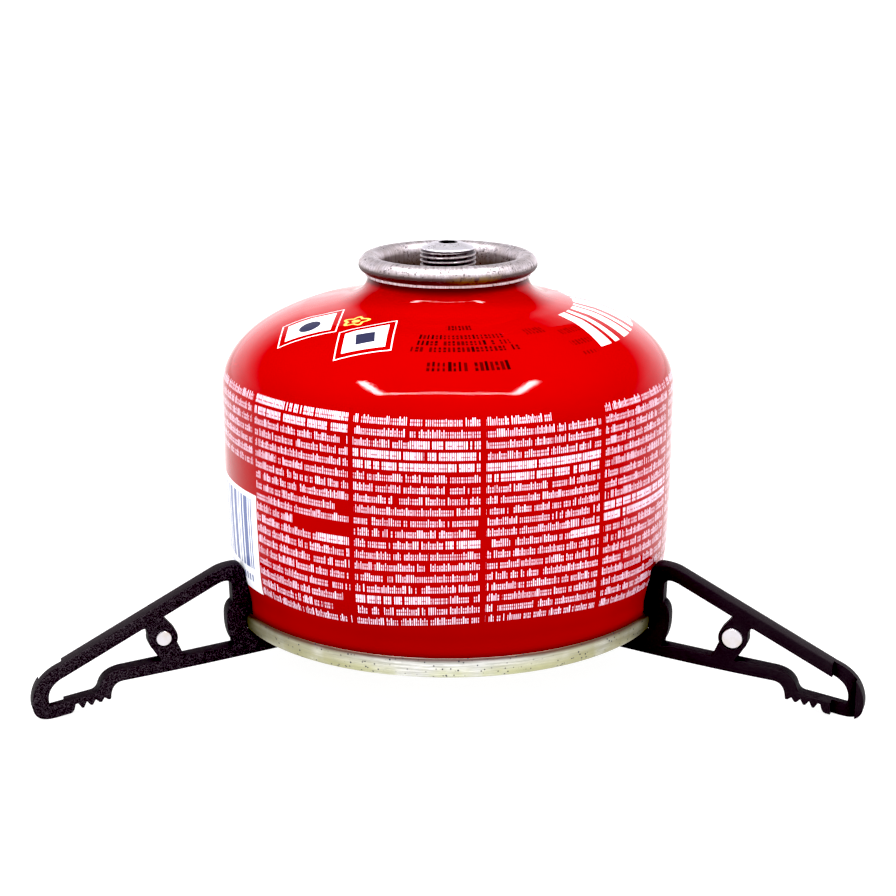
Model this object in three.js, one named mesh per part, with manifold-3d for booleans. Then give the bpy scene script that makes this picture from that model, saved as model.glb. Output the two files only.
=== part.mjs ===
// A small screw-valve gas canister on a folding three-leg canister stand.
// Millimetres, +Z up. The floor is z = 0 and the origin is the centre of the
// whole object's footprint box. The rear leg points along +Y.
import * as THREE from "three";
import { mergeVertices } from "three/addons/utils/BufferGeometryUtils.js";
import Module from "manifold-3d";

const wasm = await Module();
wasm.setup();

// ---- driving dimensions ----------------------------------------------------

const SHEET = 0.45; // steel sheet of the can, its base and the valve cup
const BODY_R = 45.1; // outer radius of the canister wall
const NECK_IN_R = 43.3; // the wall's foot, drawn in just above the bottom seam
const RIM_R = 44.45; // widest radius of the bottom seam
const RIM_H = 4.2; // height of the bottom seam
const RIM_IN_R = 42.0; // inner radius of the bottom seam
const RIM_LIP = 0.6; // how far the rolled edge stands out from the can's wall
const RIM_ABOVE_FLOOR = 12.6; // lowest point of the canister above the floor
const SHOULDER_Z = 46; // where the straight wall turns into the shoulder
const DOME_EDGE_Z = 6.2; // the base panel at its edge and at its middle
const DOME_TOP_Z = 13.2;
const DOME_EDGE_BLEND = 1.6; // the dome's arc stops this far inside the seam
const DOME_STEPS = 5;

const RING_R = 15.6; // middle radius of the rolled ring round the mouth
const RING_Z = 70.0;
const RING_TUBE_R = 2.1;
const ROLL_FROM_DEG = -70; // where the rolled ring starts and stops, and the bead in it
const ROLL_TO_DEG = 180;
const BEAD_R = 1.15; // the can's own bead inside the rolled ring
const BEAD_TO_DEG = 250;
const CUP_FLOOR_Z = 62.6;
const CUP_CORNER = 1.4; // fillet between the cup's wall and floor

const THREAD_MAJOR_R = 5.55; // 7/16-28 UNEF valve thread
const THREAD_PITCH = 0.907;
const THREAD_DEPTH = 0.5;
const THREAD_TURNS = 9;
const NECK_BORE_R = 4.4;
const NECK_TOP_Z = 74.3;
const NECK_HOLE_R = 1.75;
const NECK_LAND_R = 2.7; // flat land round the hole on top of the neck
const THREAD_TOP_Z = 73.2;

const PLATE = 3.2; // thickness of a leg
const FOLD_PITCH = 4.0; // sideways step between the legs' planes
const FRONT_LEG_AZIMUTH = 20; // degrees the front legs point forwards of +-X
const LEG_TIP_R = 86.2;
const WORK_GAP = 0.15; // leg to canister wall

const EYE_R = 6; // hub eyes, stacked on the central rivet
const EYE_H = 2.2;
const EYE_PITCH = 2.7;
const EYE_LOW_Z = -0.4;
const EYE_TONGUE_R = 9.5; // how far a leg's tongue reaches from the hub's axis
const ARM_START_R = 6.4; // a leg's full height starts outside the other legs' eyes
const SHANK_R = 2.0;
const STACK_GAP = 0.1;
const RUN_GAP = 0.06; // radial clearance on the rivet and the leg pins
const WASHER_R = 5;
const WASHER_H = 0.6;
const RIVET_HEAD_R = 3.9;
const RIVET_TAIL_R = 3.5;

const PIN_AT = [60.7, 0.9]; // distance from the axis, height over the rim
const PIN_SMALL_R = 1.54;
const PIN_LARGE_R = 2.08;
const BOSS_AT = [60.85, 0.9];
const BOSS_R = 2.9;

const RECESS_FROM = 80.3; // shallow pocket on one face of the foot
const RECESS_TO = 84.9;
const RECESS_DEPTH = 1.4;

const TOOTH_COUNT = 4; // serrations under the leg
const TOOTH_STEP = 1.72;
const TOOTH_RISE = 0.33; // each tooth's tip is this much higher than the next one out
const OUTER_TOOTH_R = 77.0;
const OUTER_TOOTH_Z = -11.2;
const OUTER_GULLET_Z = -10.15;

const WALL_SIDES = 44;
const CUP_SIDES = 28;
const SMALL_SIDES = 18;

// The middle of the footprint box lies behind the canister's axis.
const AXIS_Y = -(LEG_TIP_R - BODY_R) / 2;

// ---- materials ---------------------------------------------------------------

function material(colour, roughness, metalness) {
  return new THREE.MeshStandardMaterial({ color: colour, roughness, metalness });
}

const redPaint = material(0xc40a0a, 0.25, 0);
const tinplate = material(0xb9b5a4, 0.4, 1);
const cupSteel = material(0x9a9794, 0.35, 1);
const brightSteel = material(0xe2dedf, 0.3, 1);
const springSteel = material(0xa8a8aa, 0.3, 1);
const blackPlastic = material(0x17131a, 0.7, 0);
const housingPlastic = material(0xe6e2d8, 0.5, 0);
const rubber = material(0x202020, 0.9, 0);
const sealant = material(0x7d6f58, 0.8, 0);

// ---- helpers -----------------------------------------------------------------

const radians = THREE.MathUtils.degToRad;

// A closed (radius, height) profile turned about the Z axis. Counter-clockwise
// profiles, outer side upwards, face outwards.
function turned(profile, sides) {
  const points = profile.map(([r, z]) => new THREE.Vector2(r, z));
  points.push(points[0].clone());
  return new THREE.LatheGeometry(points, sides).rotateX(Math.PI / 2);
}

function ringSection(rIn, rOut, zLow, zHigh) {
  return [
    [rIn, zLow],
    [rOut, zLow],
    [rOut, zHigh],
    [rIn, zHigh],
  ];
}

function washer(rIn, rOut, zLow, zHigh) {
  return turned(ringSection(rIn, rOut, zLow, zHigh), SMALL_SIDES);
}

// Points of an arc in a (radius, height) profile, from one angle to another.
function arc(r, z, radius, fromDeg, toDeg, steps) {
  return Array.from({ length: steps + 1 }, (_, i) => {
    const a = radians(fromDeg + ((toDeg - fromDeg) * i) / steps);
    return [r + radius * Math.cos(a), z + radius * Math.sin(a)];
  });
}

function solidOf(geometry) {
  const bare = geometry.clone();
  bare.deleteAttribute("normal");
  bare.deleteAttribute("uv");
  const merged = mergeVertices(bare, 1e-4);
  return new wasm.Manifold(
    new wasm.Mesh({
      numProp: 3,
      vertProperties: merged.attributes.position.array,
      triVerts: new Uint32Array(merged.index.array),
    }),
  );
}

function geometryOf(solid) {
  const { vertProperties, triVerts } = solid.getMesh();
  const geometry = new THREE.BufferGeometry();
  geometry.setAttribute("position", new THREE.BufferAttribute(vertProperties, 3));
  geometry.setIndex(new THREE.BufferAttribute(triVerts, 1));
  geometry.computeVertexNormals();
  return geometry;
}

function named(name, geometry, look) {
  const mesh = new THREE.Mesh(geometry, look);
  mesh.name = name;
  return mesh;
}

// ---- canister ----------------------------------------------------------------
// Heights in this section are over the canister's lowest point.

// The outside of the can from the seam up to the mouth.
function canOutside() {
  const wall = [
    [NECK_IN_R, 1.5],
    [NECK_IN_R, 6.2],
    [43.9, 9.4],
    [44.45, 12.2],
    [44.8, 17],
    [BODY_R, 26],
    [BODY_R, SHOULDER_Z],
  ];
  const shoulder = new THREE.CubicBezierCurve(
    new THREE.Vector2(BODY_R, SHOULDER_Z),
    new THREE.Vector2(BODY_R, 54),
    new THREE.Vector2(37, 59.1),
    new THREE.Vector2(29, 61.5),
  );
  const dome = shoulder.getPoints(6).slice(1).map((p) => [p.x, p.y]);
  const neck = [
    [21, 63.9],
    [18, 65.0],
    [16.6, 66.0],
    [RING_R + SHEET / 2, 67.6],
  ];
  return [...wall, ...dome, ...neck];
}

// The same line one sheet further in.
function inset(line, by) {
  return line.map(([r, z], i) => {
    const [r0, z0] = line[Math.max(i - 1, 0)];
    const [r1, z1] = line[Math.min(i + 1, line.length - 1)];
    const length = Math.hypot(r1 - r0, z1 - z0);
    return [r - (by * (z1 - z0)) / length, z + (by * (r1 - r0)) / length];
  });
}

function canBody() {
  const outside = canOutside();
  const bead = arc(RING_R, RING_Z, BEAD_R, ROLL_FROM_DEG, BEAD_TO_DEG, 6);
  const inside = inset(outside, SHEET).reverse();
  return turned([...outside, ...bead, ...inside], WALL_SIDES);
}

// A domed bottom whose edge is rolled up outside the can's wall.
function baseEnd() {
  const domeRise = DOME_TOP_Z - DOME_EDGE_Z;
  const domeRadius = (RIM_IN_R ** 2 + domeRise ** 2) / (2 * domeRise);
  const edgeSine = (RIM_IN_R - DOME_EDGE_BLEND) / domeRadius;
  const edgeAngle = THREE.MathUtils.radToDeg(Math.asin(edgeSine));
  const centreZ = DOME_TOP_Z - domeRadius;
  const below = arc(0, centreZ, domeRadius - SHEET, 90, 90 - edgeAngle, DOME_STEPS);
  const above = arc(0, centreZ, domeRadius, 90 - edgeAngle, 90, DOME_STEPS);
  below[0][0] = 0;
  above[DOME_STEPS][0] = 0;
  const seam = [
    [RIM_IN_R, 5.2],
    [RIM_IN_R, 0.7],
    [42.5, 0],
    [43.35, 0],
    [44.2, 0.9],
    [RIM_R, 2.2],
    [44.3, RIM_H],
    [RIM_R - RIM_LIP, RIM_H],
    [RIM_R - RIM_LIP, 0.8],
    [RIM_IN_R + SHEET, 0.8],
    [RIM_IN_R + SHEET, 5.5],
  ];
  const points = [...below, ...seam, ...above].map(([r, z]) => new THREE.Vector2(r, z));
  return new THREE.LatheGeometry(points, WALL_SIDES).rotateX(Math.PI / 2);
}

// A ring of sealing compound lying in the fold of the bottom seam.
function seamCompound() {
  const play = 0.06;
  const rIn = RIM_IN_R + SHEET + play;
  const rOut = RIM_R - RIM_LIP - play;
  return turned(ringSection(rIn, rOut, 0.85, 1.4), WALL_SIDES);
}

// Ridges of the valve thread, from the top down.
function threadRidges() {
  const points = [];
  for (let i = 0; i < THREAD_TURNS; i += 1) {
    const z = THREAD_TOP_Z - i * THREAD_PITCH;
    points.push([THREAD_MAJOR_R, z - 0.15], [THREAD_MAJOR_R - THREAD_DEPTH, z - THREAD_PITCH / 2]);
  }
  return points;
}

// Rolled ring, cup wall and floor, and the threaded neck, pressed from one sheet.
function valveCup() {
  const wallR = RING_R - RING_TUBE_R;
  const ridges = threadRidges();
  const rollOutside = arc(RING_R, RING_Z, RING_TUBE_R, ROLL_FROM_DEG, ROLL_TO_DEG, 9);
  const rollInside = arc(RING_R, RING_Z, RING_TUBE_R - SHEET, ROLL_TO_DEG, ROLL_FROM_DEG, 9);
  const floorTop = [
    [wallR, CUP_FLOOR_Z + CUP_CORNER],
    [wallR - CUP_CORNER, CUP_FLOOR_Z],
    [THREAD_MAJOR_R + 1.2, CUP_FLOOR_Z],
    [THREAD_MAJOR_R - THREAD_DEPTH, CUP_FLOOR_Z + 1.1],
  ];
  const neckTop = [
    [THREAD_MAJOR_R - 0.3, THREAD_TOP_Z + 0.15],
    [NECK_LAND_R, NECK_TOP_Z],
    [NECK_HOLE_R, NECK_TOP_Z],
    [NECK_HOLE_R, NECK_TOP_Z - 0.5],
    [NECK_BORE_R - 0.4, THREAD_TOP_Z - 0.2],
    [NECK_BORE_R, THREAD_TOP_Z - 0.6],
  ];
  const underside = [
    [NECK_BORE_R, CUP_FLOOR_Z - SHEET],
    [wallR - 1.2, CUP_FLOOR_Z - SHEET],
    [wallR + SHEET, CUP_FLOOR_Z + 1.2],
  ];
  const outline = [...rollOutside, ...floorTop, ...ridges.reverse(), ...neckTop, ...underside];
  return turned([...outline, ...rollInside], CUP_SIDES);
}

// A thin seal between the can's bead and the roll of the cup, over the bead's top.
function cupGasket() {
  const outerR = RING_TUBE_R - SHEET - 0.1;
  const innerR = BEAD_R + 0.1;
  const outer = arc(RING_R, RING_Z, outerR, 20, 160, 5);
  const inner = arc(RING_R, RING_Z, innerR, 160, 20, 5);
  return turned([...outer, ...inner], CUP_SIDES);
}

// ---- valve insert ------------------------------------------------------------

const HOUSING_R = NECK_BORE_R - 0.12;
const HOUSING_WALL = 0.8;
const HOUSING_INLET_R = 0.8;
const HOUSING_LOW_Z = 62.2;
const HOUSING_FLOOR_Z = 63.4;
const HOUSING_TOP_Z = 71.2;
const HOUSING_CHAMFER = 0.5;
const COLLAR_R = 2.9;
const COLLAR_LOW_Z = 69.6;
const COLLAR_TOP_Z = 71.1;
const STEM_TOP_Z = 73.0;
const STEM_R = 1.2;

function valveHousing() {
  return turned(
    [
      [HOUSING_INLET_R, HOUSING_LOW_Z],
      [HOUSING_R - HOUSING_CHAMFER, HOUSING_LOW_Z],
      [HOUSING_R, HOUSING_LOW_Z + HOUSING_CHAMFER],
      [HOUSING_R, HOUSING_TOP_Z],
      [HOUSING_R - HOUSING_WALL, HOUSING_TOP_Z],
      [HOUSING_R - HOUSING_WALL, HOUSING_FLOOR_Z],
      [HOUSING_INLET_R, HOUSING_FLOOR_Z],
    ],
    SMALL_SIDES,
  );
}

function valveStem() {
  const points = [
    [0, COLLAR_LOW_Z - 1.6],
    [STEM_R, COLLAR_LOW_Z - 1.6],
    [STEM_R + 0.2, COLLAR_LOW_Z],
    [COLLAR_R, COLLAR_LOW_Z],
    [COLLAR_R, COLLAR_TOP_Z - 0.3],
    [COLLAR_R - 0.7, COLLAR_TOP_Z],
    [STEM_R, COLLAR_TOP_Z],
    [STEM_R, STEM_TOP_Z - 0.3],
    [STEM_R - 0.3, STEM_TOP_Z],
    [0, STEM_TOP_Z],
  ].map(([r, z]) => new THREE.Vector2(r, z));
  return new THREE.LatheGeometry(points, SMALL_SIDES).rotateX(Math.PI / 2);
}

function stemGasket() {
  return washer(STEM_R + 0.12, HOUSING_R, HOUSING_TOP_Z + 0.08, HOUSING_TOP_Z + 1.0);
}

const SPRING_WIRE_R = 0.3;
const SPRING_COIL_R = 2.2;
const SPRING_TURNS = 4.5;
const SPRING_LOW_Z = HOUSING_FLOOR_Z + 0.1;
const SPRING_HIGH_Z = COLLAR_LOW_Z - 0.1;

function valveSpring() {
  const low = SPRING_LOW_Z + SPRING_WIRE_R;
  const rise = SPRING_HIGH_Z - SPRING_WIRE_R - low;
  const steps = 54;
  const points = Array.from({ length: steps + 1 }, (_, i) => {
    const a = (2 * Math.PI * SPRING_TURNS * i) / steps;
    const z = low + (rise * i) / steps;
    return new THREE.Vector3(SPRING_COIL_R * Math.cos(a), SPRING_COIL_R * Math.sin(a), z);
  });
  const wire = new THREE.Shape().absarc(0, 0, SPRING_WIRE_R, 0, 2 * Math.PI, false);
  return new THREE.ExtrudeGeometry(wire, {
    extrudePath: new THREE.CatmullRomCurve3(points),
    steps,
    curveSegments: 4,
  });
}

// ---- stand -------------------------------------------------------------------
// A leg is drawn in its own frame: +X along the leg from the hub, +Z up from the
// canister's lowest point, and Y across the plate. +Y is the grained face.

const eyeLow = (level) => EYE_LOW_Z + level * EYE_PITCH;

// The leg's outer edge, from the hub's underside along the bottom to the tip and
// back over the top bar, down the canister side and through the rim notch.
function legEdge(level) {
  const low = eyeLow(level);
  const high = low + EYE_H;
  const edge = new THREE.Shape();
  edge.moveTo(ARM_START_R, low);
  edge.lineTo(EYE_TONGUE_R, Math.min(low, 0.6));
  edge.quadraticCurveTo(36.5, -4.5, 69, -6.72);
  edge.quadraticCurveTo(71.3, -6.9, 71.45, -9.9);
  for (let i = TOOTH_COUNT - 1; i >= 0; i -= 1) {
    const tip = OUTER_TOOTH_R - i * TOOTH_STEP;
    const tipZ = OUTER_TOOTH_Z + i * TOOTH_RISE;
    edge.lineTo(tip - 0.25, tipZ);
    edge.lineTo(tip + 0.2, tipZ);
    edge.lineTo(tip + 0.9, OUTER_GULLET_Z + i * 0.15);
  }
  edge.lineTo(78.35, -10.3);
  edge.quadraticCurveTo(78.6, -12, 79.6, -12.05);
  edge.lineTo(83.0, -RIM_ABOVE_FLOOR);
  edge.lineTo(84.4, -RIM_ABOVE_FLOOR);
  edge.quadraticCurveTo(LEG_TIP_R + 0.1, -RIM_ABOVE_FLOOR, LEG_TIP_R, -8.4);
  edge.quadraticCurveTo(85.6, -3.7, 80.8, -1.78);
  edge.lineTo(50.2, 13.52);
  edge.quadraticCurveTo(48.6, 14.3, 46.4, 14.35);
  edge.quadraticCurveTo(44.75, 14.3, 44.65, 12.4);
  edge.lineTo(44.2, 9.6);
  edge.lineTo(NECK_IN_R + WORK_GAP, 6.4);
  edge.lineTo(NECK_IN_R + WORK_GAP, RIM_H + 0.3);
  edge.lineTo(RIM_R + 0.45, RIM_H + 0.3);
  edge.lineTo(RIM_R + 0.45, -0.3);
  edge.lineTo(40.8, -0.3);
  edge.lineTo(16, 3.3);
  edge.lineTo(10, Math.max(high, 4.2));
  edge.lineTo(ARM_START_R, high);
  return edge;
}

// The window between the canister side of the frame and the boss.
function innerWindow() {
  const hole = new THREE.Path();
  hole.moveTo(47.0, -2.4);
  hole.lineTo(56.8, -3.3);
  hole.lineTo(58.0, -0.4);
  hole.absarc(...BOSS_AT, BOSS_R, radians(205), radians(135), true);
  hole.lineTo(60.7, 5.3);
  hole.lineTo(49.6, 10.85);
  hole.quadraticCurveTo(47.2, 11.8, 46.95, 10.2);
  hole.lineTo(46.85, 6.7);
  hole.quadraticCurveTo(48.2, 5.8, 48.15, 3.4);
  hole.quadraticCurveTo(48.2, 0.2, 47.05, -1.8);
  return hole;
}

// The window between the boss and the tip.
function outerWindow() {
  const hole = new THREE.Path();
  hole.moveTo(61.5, -3.6);
  hole.lineTo(68.5, -4.2);
  hole.quadraticCurveTo(72.6, -4.4, 73.6, -7.2);
  hole.quadraticCurveTo(73.9, -8.5, 75.0, -8.7);
  hole.lineTo(83.2, -9.95);
  hole.quadraticCurveTo(84.1, -6.0, 80.0, -4.3);
  hole.lineTo(65.0, 3.2);
  hole.quadraticCurveTo(64.0, 3.7, 63.8, 2.4);
  hole.absarc(...BOSS_AT, BOSS_R, radians(10), radians(-42), true);
  return hole;
}

// A cylinder lying along Y, from y0 to y1, over the leg's pin point.
function pinBore(radius, y0, y1) {
  const bore = new THREE.CylinderGeometry(radius, radius, y1 - y0, SMALL_SIDES);
  return bore.translate(PIN_AT[0], (y0 + y1) / 2, PIN_AT[1]);
}

function leg(level, shift) {
  const outline = legEdge(level);
  outline.holes.push(innerWindow(), outerWindow());
  const frame = new THREE.ExtrudeGeometry(outline, {
    depth: PLATE,
    bevelEnabled: false,
    curveSegments: 5,
  });
  frame.rotateX(Math.PI / 2).translate(0, shift + PLATE / 2, 0);

  const z = eyeLow(level) + EYE_H / 2;
  const eye = new THREE.CylinderGeometry(EYE_R, EYE_R, EYE_H, SMALL_SIDES).rotateX(Math.PI / 2);
  const tongue = new THREE.BoxGeometry(EYE_TONGUE_R, PLATE, EYE_H).translate(EYE_TONGUE_R / 2, shift, z);
  const eyeHole = new THREE.CylinderGeometry(SHANK_R + RUN_GAP, SHANK_R + RUN_GAP, 9, SMALL_SIDES);

  const low = shift - PLATE / 2;
  const high = shift + PLATE / 2;
  const recess = new THREE.BoxGeometry(RECESS_TO - RECESS_FROM, RECESS_DEPTH * 2, 40);
  recess.translate((RECESS_FROM + RECESS_TO) / 2, low, 0);

  return geometryOf(
    solidOf(frame)
      .add(solidOf(eye.translate(0, 0, z)))
      .add(solidOf(tongue))
      .subtract(solidOf(eyeHole.rotateX(Math.PI / 2).translate(0, 0, z)))
      .subtract(solidOf(pinBore(PIN_LARGE_R + RUN_GAP, low - 1, shift)))
      .subtract(solidOf(pinBore(PIN_SMALL_R + RUN_GAP, shift - 0.1, high + 1)))
      .subtract(solidOf(recess)),
  );
}

// A stepped pin, flush with both faces of its leg.
function legPin(shift) {
  const half = PLATE / 2;
  const large = solidOf(pinBore(PIN_LARGE_R, shift - half, shift - 0.05));
  const small = solidOf(pinBore(PIN_SMALL_R, shift - half, shift + half));
  return geometryOf(large.add(small));
}

// A leg and its pin, turned to point along its azimuth.
function legGroup(side, azimuth, level, shift) {
  const group = new THREE.Group();
  group.rotation.z = radians(azimuth);
  group.add(named("leg_" + side, leg(level, shift), blackPlastic.clone()));
  group.add(named("pin_" + side, legPin(shift), brightSteel.clone()));
  return group;
}

// The rivet, its two washers and the spacers between the three eyes.
function hub() {
  const group = new THREE.Group();
  const stackTop = eyeLow(2) + EYE_H;
  const topWasher = stackTop + STACK_GAP;
  const lowWasher = EYE_LOW_Z - STACK_GAP - WASHER_H;
  const headLow = lowWasher - STACK_GAP;
  const headTop = topWasher + WASHER_H + STACK_GAP;
  const rivet = [
    [0, headLow - 1.1],
    [2.6, headLow - 1.1],
    [RIVET_HEAD_R, headLow - 0.4],
    [RIVET_HEAD_R, headLow],
    [SHANK_R, headLow],
    [SHANK_R, headTop],
    [RIVET_TAIL_R, headTop],
    [RIVET_TAIL_R, headTop + 0.4],
    [2.3, headTop + 1.0],
    [0, headTop + 1.0],
  ].map(([r, z]) => new THREE.Vector2(r, z));
  const rivetShape = new THREE.LatheGeometry(rivet, SMALL_SIDES).rotateX(Math.PI / 2);
  const bore = SHANK_R + RUN_GAP;
  group.add(named("hub_rivet", rivetShape, brightSteel.clone()));
  group.add(
    named("hub_washer_top", washer(bore, WASHER_R, topWasher, topWasher + WASHER_H), brightSteel.clone()),
    named("hub_washer_bottom", washer(bore, WASHER_R, lowWasher, lowWasher + WASHER_H), brightSteel.clone()),
  );
  ["spacer_lower", "spacer_upper"].forEach((name, level) => {
    const z = eyeLow(level) + EYE_H + STACK_GAP;
    const height = EYE_PITCH - EYE_H - 2 * STACK_GAP;
    group.add(named(name, washer(bore, WASHER_R, z, z + height), springSteel.clone()));
  });
  return group;
}

// ---- assembly ----------------------------------------------------------------

const object = new THREE.Group();
object.position.set(0, AXIS_Y, RIM_ABOVE_FLOOR);

object.add(
  named("can_body", canBody(), redPaint),
  named("base_end", baseEnd(), tinplate),
  named("seam_compound", seamCompound(), sealant),
  named("valve_cup", valveCup(), cupSteel),
  named("cup_gasket", cupGasket(), rubber.clone()),
  named("valve_housing", valveHousing(), housingPlastic),
  named("valve_stem", valveStem(), brightSteel.clone()),
  named("valve_spring", valveSpring(), springSteel),
  named("stem_gasket", stemGasket(), rubber),
);

object.add(
  legGroup("left", 180 + FRONT_LEG_AZIMUTH, 0, FOLD_PITCH),
  legGroup("rear", 90, 1, 0),
  legGroup("right", -FRONT_LEG_AZIMUTH, 2, -FOLD_PITCH),
  hub(),
);

export default object;
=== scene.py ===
"""A small screw-valve gas canister on a folding three-leg stand.

Shapes are written in millimetres. Heights are over the canister's lowest point, and
each object is placed in the frame by its own transform.
"""
from math import atan2, ceil, cos, hypot, pi, radians, sin

import bmesh
import bpy
from mathutils import Matrix, Vector


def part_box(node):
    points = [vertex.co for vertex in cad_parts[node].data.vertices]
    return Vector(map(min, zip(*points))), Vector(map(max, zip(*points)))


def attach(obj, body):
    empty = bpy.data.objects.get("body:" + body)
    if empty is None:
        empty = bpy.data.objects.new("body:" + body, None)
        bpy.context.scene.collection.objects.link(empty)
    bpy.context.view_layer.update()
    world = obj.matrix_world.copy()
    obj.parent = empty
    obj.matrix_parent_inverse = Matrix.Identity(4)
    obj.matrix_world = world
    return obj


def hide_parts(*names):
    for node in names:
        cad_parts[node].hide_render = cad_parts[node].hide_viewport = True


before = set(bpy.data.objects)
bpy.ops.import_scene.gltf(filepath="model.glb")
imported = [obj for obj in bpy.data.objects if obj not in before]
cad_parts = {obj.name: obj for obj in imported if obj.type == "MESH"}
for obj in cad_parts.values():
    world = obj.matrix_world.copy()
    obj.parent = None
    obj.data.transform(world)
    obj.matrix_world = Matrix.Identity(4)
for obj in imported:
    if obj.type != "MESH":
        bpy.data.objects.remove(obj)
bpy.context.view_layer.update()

scene = bpy.context.scene
MM = 0.001

# ---- places taken from the frame ---------------------------------------------

cup_low, cup_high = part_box("valve_cup")
rim_low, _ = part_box("base_end")
AXIS = Vector(((cup_low.x + cup_high.x) / 2, (cup_low.y + cup_high.y) / 2, rim_low.z))
ON_CANISTER = Matrix.Translation(AXIS)

# ---- camera ------------------------------------------------------------------

CAMERA_AT = (0.0, -0.38024, 0.14625)
CAMERA_TILT_DEG = 74.23
CAMERA_LENS = 73.88
SENSOR_WIDTH = 36.0

camera = bpy.data.objects.new("camera", bpy.data.cameras.new("camera"))
camera.location = CAMERA_AT
camera.rotation_euler = (radians(CAMERA_TILT_DEG), 0, 0)
camera.data.sensor_width = SENSOR_WIDTH
camera.data.lens = CAMERA_LENS
camera.data.clip_start, camera.data.clip_end = 0.01, 50
scene.collection.objects.link(camera)
scene.camera = camera

# ---- shader fields -----------------------------------------------------------


class Field:
    """A value that varies over a surface, used in arithmetic like a plain number."""

    def __init__(self, tree, socket):
        self.tree, self.socket = tree, socket

    def math(self, operation, *others):
        node = self.tree.nodes.new("ShaderNodeMath")
        node.operation = operation
        for place, value in zip(node.inputs, (self, *others)):
            plug(self.tree, place, value)
        return Field(self.tree, node.outputs[0])

    def __add__(self, other):
        return self.math("ADD", other)

    def __sub__(self, other):
        return self.math("SUBTRACT", other)

    def __mul__(self, other):
        return self.math("MULTIPLY", other)

    def __truediv__(self, other):
        return self.math("DIVIDE", other)

    __radd__, __rmul__ = __add__, __mul__

    def __rsub__(self, other):
        return self * -1 + other

    def floor(self):
        return self.math("FLOOR")

    def fract(self):
        return self.math("FRACT")

    def size(self):
        return self.math("ABSOLUTE")

    def least(self, other):
        return self.math("MINIMUM", other)

    def most(self, other):
        return self.math("MAXIMUM", other)

    def above(self, level, soft=0.02, under=0.0, over=1.0):
        """Changes from one value to another at a level, over a width of soft."""
        node = self.tree.nodes.new("ShaderNodeMapRange")
        for place, value in zip(node.inputs, (self, level - soft / 2, level + soft / 2, under, over)):
            plug(self.tree, place, value)
        return Field(self.tree, node.outputs[0])

    def below(self, level, soft=0.02):
        return self.above(level, soft, 1.0, 0.0)

    def between(self, low, high, soft=0.02):
        return self.above(low, soft) * self.below(high, soft)


def plug(tree, place, value):
    if isinstance(value, Field):
        tree.links.new(value.socket, place)
    else:
        place.default_value = value


class Surface:
    """A node material whose patterns come from places on the object, in millimetres."""

    def __init__(self, name):
        self.material = bpy.data.materials.new(name)
        self.material.use_nodes = True
        self.tree = self.material.node_tree
        self.shader = self.tree.nodes["Principled BSDF"]
        places = self.tree.nodes.new("ShaderNodeTexCoord").outputs["Object"]
        split = self.tree.nodes.new("ShaderNodeSeparateXYZ")
        self.tree.links.new(places, split.inputs[0])
        self.x, self.y, self.z = (Field(self.tree, s) for s in split.outputs)

    def vector(self, x, y, z=0.0):
        node = self.tree.nodes.new("ShaderNodeCombineXYZ")
        for place, value in zip(node.inputs, (x, y, z)):
            plug(self.tree, place, value)
        return node.outputs[0]

    def chance(self, x, y):
        """A random number from 0 to 1 for each pair of whole numbers."""
        node = self.tree.nodes.new("ShaderNodeTexWhiteNoise")
        node.noise_dimensions = "2D"
        self.tree.links.new(self.vector(x, y), node.inputs["Vector"])
        return Field(self.tree, node.outputs["Value"])

    def noise(self, scale, detail=3.0, rough=0.55, at=None):
        node = self.tree.nodes.new("ShaderNodeTexNoise")
        node.inputs["Scale"].default_value = scale
        node.inputs["Detail"].default_value = detail
        node.inputs["Roughness"].default_value = rough
        where = self.vector(*(at or (self.x, self.y, self.z)))
        self.tree.links.new(where, node.inputs["Vector"])
        return Field(self.tree, node.outputs["Fac"])

    def cells(self, scale):
        """Distance to the nearest of scattered points, in cells."""
        node = self.tree.nodes.new("ShaderNodeTexVoronoi")
        node.inputs["Scale"].default_value = scale
        self.tree.links.new(self.vector(self.x, self.y, self.z), node.inputs["Vector"])
        return Field(self.tree, node.outputs["Distance"])

    def mix(self, share, first, second):
        node = self.tree.nodes.new("ShaderNodeMix")
        node.data_type = "RGBA"
        plug(self.tree, node.inputs["Factor"], share)
        for place, value in ((node.inputs[6], first), (node.inputs[7], second)):
            if not isinstance(value, Field):
                value = (*value, 1.0)
            plug(self.tree, place, value)
        return Field(self.tree, node.outputs[2])

    def finish(self, colour, roughness, bump=None, depth=0.0, **settings):
        """Fills in the shader; depth is the bump's, in mm."""
        plug(self.tree, self.shader.inputs["Base Color"], colour)
        plug(self.tree, self.shader.inputs["Roughness"], roughness)
        for name, value in settings.items():
            self.shader.inputs[name.replace("_", " ")].default_value = value
        if bump is not None:
            node = self.tree.nodes.new("ShaderNodeBump")
            node.inputs["Distance"].default_value = depth * MM
            plug(self.tree, node.inputs["Height"], bump)
            self.tree.links.new(node.outputs[0], self.shader.inputs["Normal"])
        return self.material


# ---- mesh helpers ------------------------------------------------------------

SHARP_EDGE_DEG = 32
TINY = 1e-6


def smooth(mesh):
    mesh.shade_smooth()
    mesh.set_sharp_from_angle(angle=radians(SHARP_EDGE_DEG))


def add_piece(name, mesh, material, place, body, slot, *stands_for):
    """Adds an object in place of the named CAD nodes, on a body and with the given material; slot is
    not used.
    """
    smooth(mesh)
    mesh.materials.clear()
    mesh.materials.append(material)
    piece = bpy.data.objects.new(name, mesh)
    piece.matrix_world = place @ Matrix.Scale(MM, 4)
    scene.collection.objects.link(piece)
    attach(piece, body)
    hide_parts(*stands_for)


def arc(x, y, radius, start_deg, end_deg, steps):
    """Points along an arc, with both its ends."""
    turn = (end_deg - start_deg) / steps
    angles = [radians(start_deg + i * turn) for i in range(steps + 1)]
    return [(x + radius * cos(a), y + radius * sin(a)) for a in angles]


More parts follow.
